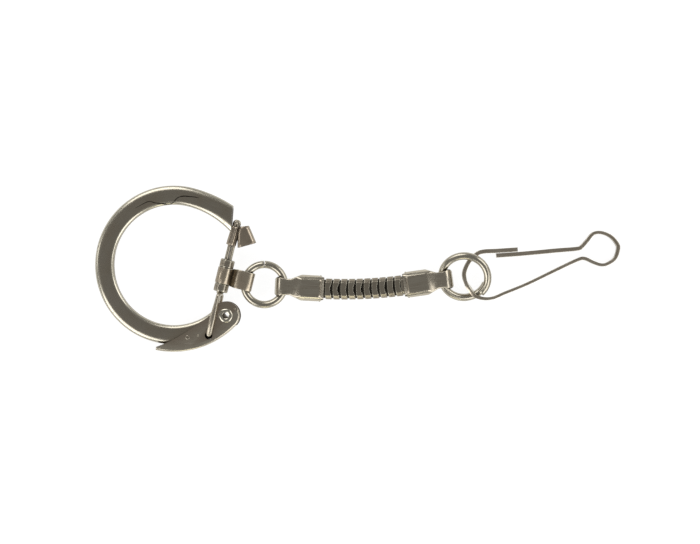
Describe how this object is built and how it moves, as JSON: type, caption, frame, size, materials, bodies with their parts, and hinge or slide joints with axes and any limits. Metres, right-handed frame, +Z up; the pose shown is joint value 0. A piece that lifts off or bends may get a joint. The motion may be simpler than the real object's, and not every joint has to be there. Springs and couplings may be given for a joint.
{
  "type": "belt key clip",
  "caption": "Belt key clip: a C-shaped key ring closed by a lever-locked wire gate, joined by a short square snake chain to a flat-strip spring hook.",
  "frame": {"origin": "centre of the key ring, on the surface that the clip lies on", "axes": "+X runs from the key ring along the chain to the spring hook, +Z is up from the surface, and +Y completes the frame"},
  "size_m": [0.1049, 0.0331, 0.0053],
  "materials": {
    "ring_band": "nickel plate on steel, lightly tumbled, soft scratches",
    "lever_sheet": "nickel plate on steel, lightly tumbled, soft scratches",
    "eyelet": "nickel plate on steel, lightly tumbled, soft scratches",
    "gate_wire": "nickel plate on steel, lightly tumbled, soft scratches",
    "catch_sheet": "nickel plate on steel, lightly tumbled, soft scratches",
    "sleeve_tube": "nickel plate on steel, lightly tumbled, soft scratches",
    "strap_sheet": "nickel plate on steel, lightly tumbled, soft scratches",
    "jump_wire": "nickel plate on steel, lightly tumbled, soft scratches",
    "cap_sheet": "nickel plate on steel, lightly tumbled, soft scratches",
    "chain_link": "nickel plate on steel, lightly tumbled, soft scratches",
    "spring_strip": "nickel plate on steel, lightly tumbled, soft scratches"
  },
  "bodies": {
    "key_ring": {"ring_body": "ring_band"},
    "lever": {"lever": "lever_sheet", "lever_eyelet": "eyelet"},
    "gate": {"gate_bail": "gate_wire", "gate_catch": "catch_sheet"},
    "sleeve": {"swivel_sleeve": "sleeve_tube"},
    "strap": {"link_strap": "strap_sheet"},
    "ring_a": {"jump_ring_a": "jump_wire"},
    "cap_a": {"end_cap_a": "cap_sheet"},
    "link_1": {"link_1": "chain_link"},
    "link_2": {"link_2": "chain_link"},
    "link_3": {"link_3": "chain_link"},
    "link_4": {"link_4": "chain_link"},
    "link_5": {"link_5": "chain_link"},
    "link_6": {"link_6": "chain_link"},
    "link_7": {"link_7": "chain_link"},
    "link_8": {"link_8": "chain_link"},
    "link_9": {"link_9": "chain_link"},
    "link_10": {"link_10": "chain_link"},
    "cap_b": {"end_cap_b": "cap_sheet"},
    "ring_b": {"jump_ring_b": "jump_wire"},
    "hook": {"spring_hook": "spring_strip"},
    "hook_arm": {"spring_arm": "spring_strip"}
  },
  "joints": [
    {"name": "lever_hinge", "type": "hinge", "parent": "key_ring", "child": "lever", "pos_m": [0.0105, -0.01004, 0.00285], "axis": [-0.0721, 0, 0.9974], "range_deg": [0, 120]},
    {"name": "gate_hinge", "type": "hinge", "parent": "lever", "child": "gate", "pos_m": [0.0071, -0.014, 0.0026], "axis": [-0.0721, 0, 0.9974], "range_deg": [-156, 0]},
    {"name": "sleeve_slide", "type": "slide", "parent": "gate", "child": "sleeve", "axis": [0.2396, 0.9707, 0.0173], "range_m": [0, 0.0026]},
    {"name": "strap_turn", "type": "hinge", "parent": "sleeve", "child": "strap", "pos_m": [0.01003, -0.00214, 0.00281], "axis": [0.2396, 0.9707, 0.0173], "range_deg": [-110, 110]},
    {"name": "ring_a_fold", "type": "hinge", "parent": "strap", "child": "ring_a", "pos_m": [0.01414, -0.00304, 0.00281], "axis": [0.2147, 0.9767, 0], "range_deg": [-60, 60]},
    {"name": "cap_a_swing", "type": "hinge", "parent": "ring_a", "child": "cap_a", "pos_m": [0.01804, -0.0039, 0.00281], "axis": [0, 0, 1], "range_deg": [-75, 75]},
    {"name": "sway_1", "type": "hinge", "parent": "cap_a", "child": "link_1", "pos_m": [0.03016, -0.00474, 0.0026], "axis": [0, 0, 1], "range_deg": [-6, 6]},
    {"name": "dip_2", "type": "hinge", "parent": "link_1", "child": "link_2", "pos_m": [0.03171, -0.0048, 0.0026], "axis": [0.0262, 0.9997, 0], "range_deg": [-6, 6]},
    {"name": "sway_3", "type": "hinge", "parent": "link_2", "child": "link_3", "pos_m": [0.03326, -0.00482, 0.0026], "axis": [0, 0, 1], "range_deg": [-6, 6]},
    {"name": "dip_4", "type": "hinge", "parent": "link_3", "child": "link_4", "pos_m": [0.03481, -0.00482, 0.0026], "axis": [-0.0087, 1, 0], "range_deg": [-6, 6]},
    {"name": "sway_5", "type": "hinge", "parent": "link_4", "child": "link_5", "pos_m": [0.03636, -0.0048, 0.0026], "axis": [0, 0, 1], "range_deg": [-6, 6]},
    {"name": "dip_6", "type": "hinge", "parent": "link_5", "child": "link_6", "pos_m": [0.03791, -0.00474, 0.0026], "axis": [-0.0436, 0.999, 0], "range_deg": [-6, 6]},
    {"name": "sway_7", "type": "hinge", "parent": "link_6", "child": "link_7", "pos_m": [0.03946, -0.00466, 0.0026], "axis": [0, 0, 1], "range_deg": [-6, 6]},
    {"name": "dip_8", "type": "hinge", "parent": "link_7", "child": "link_8", "pos_m": [0.041, -0.00455, 0.0026], "axis": [-0.0785, 0.9969, 0], "range_deg": [-6, 6]},
    {"name": "sway_9", "type": "hinge", "parent": "link_8", "child": "link_9", "pos_m": [0.04255, -0.00442, 0.0026], "axis": [0, 0, 1], "range_deg": [-6, 6]},
    {"name": "dip_10", "type": "hinge", "parent": "link_9", "child": "link_10", "pos_m": [0.04409, -0.00426, 0.0026], "axis": [-0.1132, 0.9936, 0], "range_deg": [-6, 6]},
    {"name": "sway_11", "type": "hinge", "parent": "link_10", "child": "cap_b", "pos_m": [0.04563, -0.00407, 0.0026], "axis": [0, 0, 1], "range_deg": [-6, 6]},
    {"name": "ring_b_fold", "type": "hinge", "parent": "cap_b", "child": "ring_b", "pos_m": [0.0534, -0.00293, 0.00246], "axis": [-0.1392, 0.9629, 0.2312], "range_deg": [-30, 20]},
    {"name": "hook_swing", "type": "hinge", "parent": "ring_b", "child": "hook", "pos_m": [0.05888, 0.00167, 0.00421], "axis": [-0.2522, 0.9472, 0.1979], "range_deg": [0, 45]},
    {"name": "arm_flex", "type": "hinge", "parent": "hook", "child": "hook_arm", "pos_m": [0.08125, 0.00361, 0.00112], "axis": [0.0633, 0, 0.998], "range_deg": [0, 10], "stiffness_Nm_per_rad": 0.5}
  ],
  "couplings": [
    {"joint": "gate_hinge", "follows": "lever_hinge", "ratio": -1.3}
  ]
}
